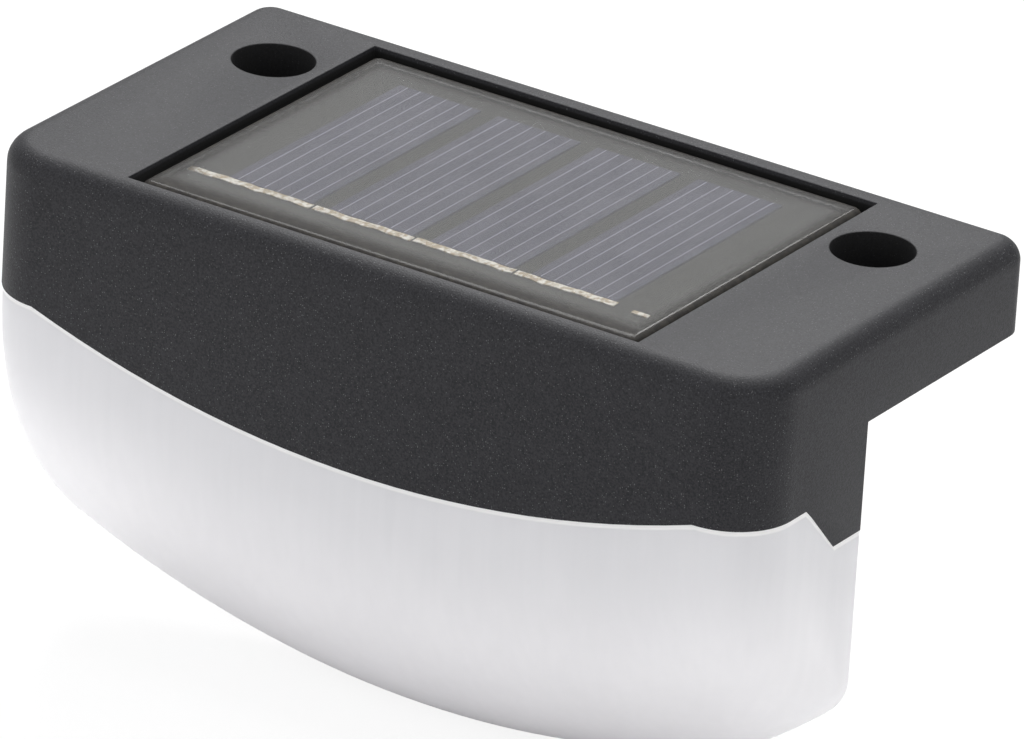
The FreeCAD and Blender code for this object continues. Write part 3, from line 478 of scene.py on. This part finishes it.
maker = bpy.data.objects.new("finger_maker", bpy.data.meshes.new("finger_maker"))
bpy.context.collection.objects.link(maker)
layout = maker.modifiers.new("rows", "NODES")
layout.node_group = finger_rows
for name, _, setting in INPUTS:
    layout[sockets[name].identifier] = setting
evaluated = maker.evaluated_get(bpy.context.evaluated_depsgraph_get())
mesh = bpy.data.meshes.new_from_object(evaluated)
bpy.data.objects.remove(maker)
fingers = bpy.data.objects.new("cell_fingers", mesh)
bpy.context.collection.objects.link(fingers)
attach(fingers, "light")

# Ribbons: tinned copper strip, bent by hand as it is soldered along the front ends of the cells,
# so each has its own small waves. A stub of the last one ends on the board at the right.
RIBBON_THICK, RIBBON_WIDTH, RIBBON_LAP, RIBBON_STEP = 0.10 * MM, 1.05 * MM, 1.5 * MM, 0.35 * MM
RIBBON_RUN_ON, RIBBON_BACK, RIBBON_LIFT = 1.9 * MM, 0.05 * MM, 0.13 * MM
STUB_LONG, STUB_WIDTH, STUB_BACK = 2.0 * MM, 0.7 * MM, 0.55 * MM
RIPPLE, SWAY, DRIFT = 2100, 930, 260
ribbon_low, ribbon_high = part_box("cell_ribbons")
ribbon_starts = [cells_low.x + CELL_PITCH * i - RIBBON_LAP for i in range(CELL_COUNT)]
ribbon_runs = [(start, start + CELL_WIDTH + RIBBON_RUN_ON) for start in ribbon_starts]
ribbon_runs[0] = (ribbon_low.x, ribbon_runs[0][1])
ribbon_runs.append((ribbon_high.x - STUB_LONG, ribbon_high.x))
strip = bmesh.new()
for number, (start, end) in enumerate(ribbon_runs):
    stub = number == CELL_COUNT
    width = STUB_WIDTH if stub else RIBBON_WIDTH
    set_back = STUB_BACK if stub else RIBBON_BACK
    last_row = None
    steps = max(6, round((end - start) / RIBBON_STEP))
    for i in range(steps + 1):
        x = start + (end - start) * i / steps
        wave = math.sin(x * RIPPLE + number * 1.7) * 0.5 + math.sin(x * SWAY + number) * 0.5
        back = cells_low.y - set_back + (wave * 0.06 + math.sin(x * DRIFT + 0.6) * 0.05) * MM
        base = board_high.z + RIBBON_LIFT + wave * 0.05 * MM
        lifted = base - wave * 0.03 * MM
        section = [(back - width, base), (back, lifted),
                   (back, lifted + RIBBON_THICK), (back - width, base + RIBBON_THICK)]
        row = [strip.verts.new((x, y, z)) for y, z in section]
        if last_row:
            for a in range(4):
                b = (a + 1) % 4
                strip.faces.new((last_row[a], last_row[b], row[b], row[a]))
        else:
            strip.faces.new(reversed(row))
        last_row = row
    strip.faces.new(last_row)
bmesh.ops.recalc_face_normals(strip, faces=strip.faces)
ribbons = as_piece("soldered_ribbons", strip)
ribbon_tin, shader, place = new_material("ribbon_tin")
solder = noise(place, 0.6 * MM, 3.0)
feed(shader, Base_Color=solder.steps(0.38, 0.60).tint((0.62, 0.60, 0.54, 1), (0.30, 0.23, 0.13, 1)),
     Roughness=solder * 0.2 + 0.35, Metallic=0.2, Specular_IOR_Level=0.2,
     Normal=bumped(place, solder, 0.05 * MM, 0.6))
ribbons.data.materials.append(ribbon_tin)
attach(ribbons, "light")
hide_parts("cell_ribbons")

# Resin: clear epoxy poured over the panel almost to the rim of the recess. It is round at its edge
# and nearly flat inside. Its edge, and most of all its front margin, is overlaid with a patchy dark
# coat: painted shade and a painted reflection of the dark recess walls.
RESIN_TOP, RESIN_DEPTH, RESIN_GAP, RESIN_SKIRT = 10.35 * MM, 1.0 * MM, 0.3 * MM, 0.8 * MM
EDGE_ROLL, SWELL_REACH, SWELL_DROP = 1.1 * MM, 7.0 * MM, 0.10 * MM
PLAN_CORNER, SMALLEST_CORNER = 1.4 * MM, 0.15 * MM
QUARTER_STEPS, ROLL_STEP, SWELL_STEPS = 8, 10, 12
EDGE_SHADE_PALE, EDGE_SHADE_DARK = (0.030, 0.027, 0.022, 1), (0.012, 0.010, 0.009, 1)
resin_low, resin_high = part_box("panel_resin")
centre = (resin_low + resin_high) / 2
half_x = (resin_high.x - resin_low.x) / 2 - RESIN_GAP
half_y = (resin_high.y - resin_low.y) / 2 - RESIN_GAP


def rounded_ring(built, inset, level):
    """A rounded rectangle round the panel, drawn in by inset."""
    corner = max(PLAN_CORNER - inset, SMALLEST_CORNER)
    ring = []
    for quarter, (side, end) in enumerate(((1, 1), (-1, 1), (-1, -1), (1, -1))):
        for step in range(QUARTER_STEPS + 1):
            angle = math.pi / 2 * (quarter + step / QUARTER_STEPS)
            x = side * (half_x - inset - corner) + corner * math.cos(angle)
            y = end * (half_y - inset - corner) + corner * math.sin(angle)
            ring.append(built.verts.new((centre.x + x, centre.y + y, level)))
    return ring


poured = bmesh.new()
foot = resin_low.z + 0.02 * MM
rings = [rounded_ring(poured, RESIN_SKIRT, RESIN_TOP - RESIN_DEPTH),
         rounded_ring(poured, RESIN_SKIRT, foot), rounded_ring(poured, 0, foot)]
for degrees in range(0, 91, ROLL_STEP):
    angle = math.radians(degrees)
    drop = EDGE_ROLL * (1 - math.sin(angle)) + SWELL_DROP
    rings.append(rounded_ring(poured, EDGE_ROLL * (1 - math.cos(angle)), RESIN_TOP - drop))
for i in range(1, SWELL_STEPS + 1):
    share = i / SWELL_STEPS
    inset = EDGE_ROLL + (SWELL_REACH - EDGE_ROLL) * share
    rings.append(rounded_ring(poured, inset, RESIN_TOP - SWELL_DROP * (1 - share) ** 2))
for outer, inner in zip(rings, rings[1:]):
    for i in range(len(outer)):
        after = (i + 1) % len(outer)
        poured.faces.new((outer[i], outer[after], inner[after], inner[i]))
poured.faces.new(rings[-1])
poured.faces.new(reversed(rings[0]))
bmesh.ops.recalc_face_normals(poured, faces=poured.faces)
resin = as_piece("resin_coat", poured)
resin_clear, shader, place = new_material("resin_clear")
feed(shader, Base_Color=(1, 1, 1, 1), IOR=1.5, Specular_IOR_Level=0.2, Transmission_Weight=1.0,
     Roughness=noise(place, 4 * MM) * 0.05 + 0.015,
     Normal=bumped(place, noise(place, 9 * MM, 1.0), 0.1 * MM, 0.25))
from_middle = place.vector("SUBTRACT", centre).vector("ABSOLUTE")
inward = (half_x - from_middle.axis(0)).least(half_y - from_middle.axis(1))
from_front = place.axis(1) - (centre.y - half_y)
# Painted shade: a patchy dark coat mixed over the rolled edge and the front margin.
patchy = noise(place, 0.8 * MM, 4.0, 0.65).steps(0.35, 0.6)
painted_edge_shade = (1 - inward.steps(0.7 * MM, 1.6 * MM)) * 0.94
painted_edge_shade = painted_edge_shade.most((1 - inward.steps(0.8 * MM, 3.0 * MM)) * (patchy * 0.15 + 0.40))
painted_edge_shade = painted_edge_shade.most((1 - from_front.steps(1.2 * MM, 4.6 * MM)) * 0.85)
edge_shade_coat = place.node("ShaderNodeBsdfPrincipled", Base_Color=patchy.tint(EDGE_SHADE_PALE, EDGE_SHADE_DARK),
                  Roughness=0.7, Specular_IOR_Level=0.2)
surface = place.node("ShaderNodeMixShader", i0=painted_edge_shade, i1=Sock(place.tree, shader.outputs[0]), i2=edge_shade_coat)
place.tree.links.new(surface.socket, place.tree.nodes["Material Output"].inputs["Surface"])
resin.data.materials.append(resin_clear)
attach(resin, "light")
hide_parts("panel_resin")

# Screws: pan-head self-tapping screws in zinc-plated steel, four in the back cover and two in the
# circuit board. The plating is bright but a little cloudy.
screw_zinc, shader, place = new_material("screw_zinc")
plating = noise(place, 0.8 * MM, 3.0)
feed(shader, Base_Color=plating.tint((0.50, 0.51, 0.53, 1), (0.66, 0.67, 0.69, 1)), Metallic=1.0,
     Roughness=plating * 0.2 + 0.24, Normal=bumped(place, plating, 0.02 * MM, 0.4))
dress("cover_screws", screw_zinc)
dress("board_screws", screw_zinc)

# Panel tape and battery pad: closed-cell foam, charcoal on the tape that seats the panel and mid
# grey on the pad that holds the battery up. Cut cells show as fine pits.
FOAM_CELL = 0.5 * MM
for node, low, high in (("panel_tape", 0.012, 0.028), ("battery_pad", 0.10, 0.17)):
    foam, shader, place = new_material(node + "_foam")
    pits = place.node("ShaderNodeTexVoronoi", Vector=place, Scale=1 / FOAM_CELL).steps(0.05, 0.6)
    feed(shader, Base_Color=pits.tint((low, low, low, 1), (high, high, high * 1.03, 1)),
         Roughness=pits * 0.1 + 0.85, Normal=bumped(place, pits, 0.1 * MM, 0.7))
    dress(node, foam)

# Battery: one rechargeable AAA cell in a drawn, nickel-plated can that stands on its foam pad. The
# marks of the draw run along it.
can_nickel, shader, place = new_material("can_nickel")
draw_marks = noise(place.node("ShaderNodeMapping", Vector=place, Scale=(0.05, 1, 1)), 0.3 * MM)
feed(shader, Base_Color=draw_marks.tint((0.58, 0.56, 0.52, 1), (0.72, 0.70, 0.66, 1)), Metallic=1.0,
     Roughness=draw_marks * 0.15 + 0.22)
dress("battery_cell", can_nickel)

# Battery sleeve: thin green shrink film that insulates the can. It is drawn tight by heat, and is
# glossy and faintly wrinkled along the cell.
film_green, shader, place = new_material("film_green")
wrinkles = noise(place.node("ShaderNodeMapping", Vector=place, Scale=(0.3, 1, 1)), 2 * MM, 3.0)
feed(shader, Base_Color=wrinkles.steps(0.3, 0.7).tint((0.03, 0.20, 0.09, 1), (0.05, 0.27, 0.13, 1)),
     Roughness=wrinkles * 0.1 + 0.22, Normal=bumped(place, wrinkles, 0.05 * MM, 0.4))
dress("battery_sleeve", film_green)

# Battery tabs: nickel strip, spot-welded to the two ends of the cell, where the leads are soldered
# to it. The rolls leave it dull in places.
tab_strip, shader, place = new_material("tab_strip")
rolled = noise(place, 0.6 * MM, 3.0)
feed(shader, Base_Color=rolled.tint((0.52, 0.49, 0.43, 1), (0.68, 0.65, 0.59, 1)), Metallic=1.0,
     Roughness=rolled * 0.2 + 0.28)
dress("battery_tabs", tab_strip)

# Leads: stranded wire in soft vinyl, red for positive and black for negative, from the battery
# and from the panel to the board. Handling leaves the vinyl unevenly shiny.
for colour, low, high in (("red", (0.38, 0.012, 0.012, 1), (0.50, 0.022, 0.020, 1)),
                          ("black", (0.010, 0.010, 0.011, 1), (0.024, 0.024, 0.026, 1))):
    vinyl, shader, place = new_material("vinyl_" + colour)
    handled = noise(place, 1.5 * MM)
    feed(shader, Base_Color=handled.steps(0.35, 0.65).tint(low, high), Roughness=handled * 0.3 + 0.28,
         Normal=bumped(place, handled, 0.04 * MM, 0.3))
    dress("battery_wire_" + colour, vinyl)
    dress("panel_wire_" + colour, vinyl)

# Circuit board: glass laminate under a green solder mask, with copper tracks that show through it
# as a paler pattern. Two screws hold it on the posts of the back cover.
MASK_DARK, MASK_PALE = (0.006, 0.070, 0.025, 1), (0.010, 0.090, 0.034, 1)
TRACK_GREEN = (0.03, 0.16, 0.06, 1)
mask_green, shader, place = new_material("mask_green")
upright = place.node("ShaderNodeMapping", Vector=place, Rotation=(math.pi / 2, 0, 0))
tracks = place.node("ShaderNodeTexBrick", {"offset": 0.35}, 1, Vector=upright, Scale=160.0,
                    Mortar_Size=0.05, Brick_Width=1.4, Row_Height=0.45)
uneven = noise(place, 3 * MM)
feed(shader, Base_Color=tracks.tint(uneven.tint(MASK_DARK, MASK_PALE), TRACK_GREEN),
     Roughness=uneven * 0.1 + 0.25, Normal=bumped(place, tracks, 0.04 * MM, 0.5))
dress("circuit_board", mask_green)

# Light-emitting diodes: two white ones, each a glossy dome of yellowish epoxy over its phosphor,
# soldered to the front face of the board behind the lens.
led_dome, shader, place = new_material("led_dome")
phosphor = noise(place, 1 * MM)
feed(shader, Base_Color=phosphor.tint((0.78, 0.74, 0.52, 1), (0.88, 0.85, 0.66, 1)),
     Roughness=phosphor * 0.08 + 0.12)
dress("leds", led_dome)

# Driver chip: it charges the cell by day and lights the lamps at night. Its body is moulded in
# black epoxy, matt from the mould, and soldered to the board by its legs.
chip_black, shader, place = new_material("chip_black")
moulded = noise(place, 0.2 * MM, 3.0)
feed(shader, Base_Color=moulded.tint((0.012, 0.012, 0.012, 1), (0.030, 0.030, 0.031, 1)),
     Roughness=moulded * 0.1 + 0.55, Normal=bumped(place, moulded, 0.02 * MM, 0.6))
dress("drive_chip", chip_black)

# Coil: a small choke that lifts the cell's voltage for the lamps. It is dipped in green lacquer,
# thick and glossy.
coil_lacquer, shader, place = new_material("coil_lacquer")
dipped = noise(place, 1.1 * MM)
feed(shader, Base_Color=dipped.steps(0.3, 0.7).tint((0.03, 0.17, 0.10, 1), (0.06, 0.25, 0.15, 1)),
     Roughness=dipped * 0.15 + 0.2, Normal=bumped(place, dipped, 0.08 * MM, 0.5))
dress("coil_inductor", coil_lacquer)

# Small surface parts: the resistors and capacitors of the driver, with tan bodies of fired ceramic,
# soldered flat on the board.
chip_fired, shader, place = new_material("chip_fired")
fired = noise(place, 0.3 * MM)
feed(shader, Base_Color=fired.tint((0.30, 0.22, 0.15, 1), (0.42, 0.33, 0.24, 1)),
     Roughness=fired * 0.15 + 0.4)
dress("chip_parts", chip_fired)

# Switch: a push switch with a case in black nylon. Its plunger is the same nylon in white, and
# slides in the case with the button.
for node, low, high in (("switch_case", 0.014, 0.028), ("switch_plunger", 0.62, 0.72)):
    nylon, shader, place = new_material(node + "_nylon")
    flow = noise(place, 0.7 * MM, 3.0)
    feed(shader, Base_Color=flow.tint((low, low, low, 1), (high, high, high, 1)),
         Roughness=flow * 0.15 + 0.4, Normal=bumped(place, flow, 0.02 * MM, 0.4))
    dress(node, nylon)

# Button: a soft black cap over the switch plunger. Its face has a fine grain and is rubbed
# smoother than the cover round it.
button_soft, shader, place = new_material("button_soft")
pressed = noise(place, 0.3 * MM, 3.0)
rubbed = noise(place, 3 * MM)
feed(shader, Base_Color=rubbed.tint((0.012, 0.012, 0.013, 1), (0.022, 0.022, 0.024, 1)),
     Roughness=rubbed * 0.15 + 0.38, Normal=bumped(place, pressed, 0.03 * MM, 0.5))
dress("button_cap", button_soft)

# Backdrop. The photograph has a pure white ground, so the world is white to the camera. A
# reflection and the clear resin see it a little darker, and it gives the rest only a soft fill.
WHITE_SEEN, WHITE_MIRRORED, WHITE_GIVEN = 1.0, 0.70, 0.40
world = bpy.data.worlds.new("studio")
bpy.context.scene.world = world
world.use_nodes = True
tree = world.node_tree
rays = tree.nodes.new("ShaderNodeLightPath").outputs
seen = Sock(tree, rays["Is Camera Ray"]) * WHITE_SEEN
mirrored = Sock(tree, rays["Is Glossy Ray"]).most(Sock(tree, rays["Is Transmission Ray"])) * WHITE_MIRRORED
ground = tree.nodes["Background"]
ground.inputs["Color"].default_value = (1, 1, 1, 1)
tree.links.new(seen.most(mirrored).most(WHITE_GIVEN).socket, ground.inputs["Strength"])

# Floor: a wide pale sheet under the foot of the lens. It glows just enough to the camera to join
# the white ground, and still takes the object's shadow.
FLOOR_HALF, LOWEST = 1.5, cad_box[0][2]
FLOOR_PALE, FLOOR_SEEN = (0.88, 0.88, 0.88, 1), (0.16, 0.16, 0.16, 1)
FLOOR_GLOW = (0.86, 0.86, 0.86, 1)
corners = [(x * FLOOR_HALF, y * FLOOR_HALF, LOWEST) for x, y in ((-1, -1), (1, -1), (1, 1), (-1, 1))]
mesh = bpy.data.meshes.new("floor")
mesh.from_pydata(corners, [], [(0, 1, 2, 3)])
floor = bpy.data.objects.new("floor", mesh)
bpy.context.collection.objects.link(floor)
white_floor, shader, place = new_material("white_floor")
rays = place.tree.nodes.new("ShaderNodeLightPath").outputs
seen = Sock(place.tree, rays["Is Camera Ray"]).most(Sock(place.tree, rays["Is Transmission Ray"]))
feed(shader, Base_Color=seen.tint(FLOOR_PALE, FLOOR_SEEN), Roughness=0.9, Specular_IOR_Level=0.0,
     Emission_Color=seen.tint((0, 0, 0, 1), FLOOR_GLOW), Emission_Strength=1.0)
floor.data.materials.append(white_floor)

# Studio lamps: a wide soft one overhead, a smaller one high behind that gives the top its sheen, and a
# soft one on each side at the front. Each has its place, its width and its power.
LAMPS = [("overhead", (0.0, 0.10, 0.60), 0.6, 3.0), ("front_left", (-0.45, -0.6, 0.20), 0.6, 1.2),
         ("front_right", (0.6, -0.5, 0.05), 0.6, 1.6), ("rear", (-0.26, 0.42, 0.50), 0.35, 3.3)]
LAMP_AIM = Vector((0, -0.01, -0.01))
for name, where, width, power in LAMPS:
    lamp = bpy.data.lights.new(name, "AREA")
    lamp.size, lamp.energy = width, power
    holder = bpy.data.objects.new(name, lamp)
    holder.location = where
    holder.rotation_euler = (LAMP_AIM - Vector(where)).to_track_quat("-Z", "Y").to_euler()
    bpy.context.collection.objects.link(holder)

bpy.context.scene.view_settings.view_transform = "Standard"
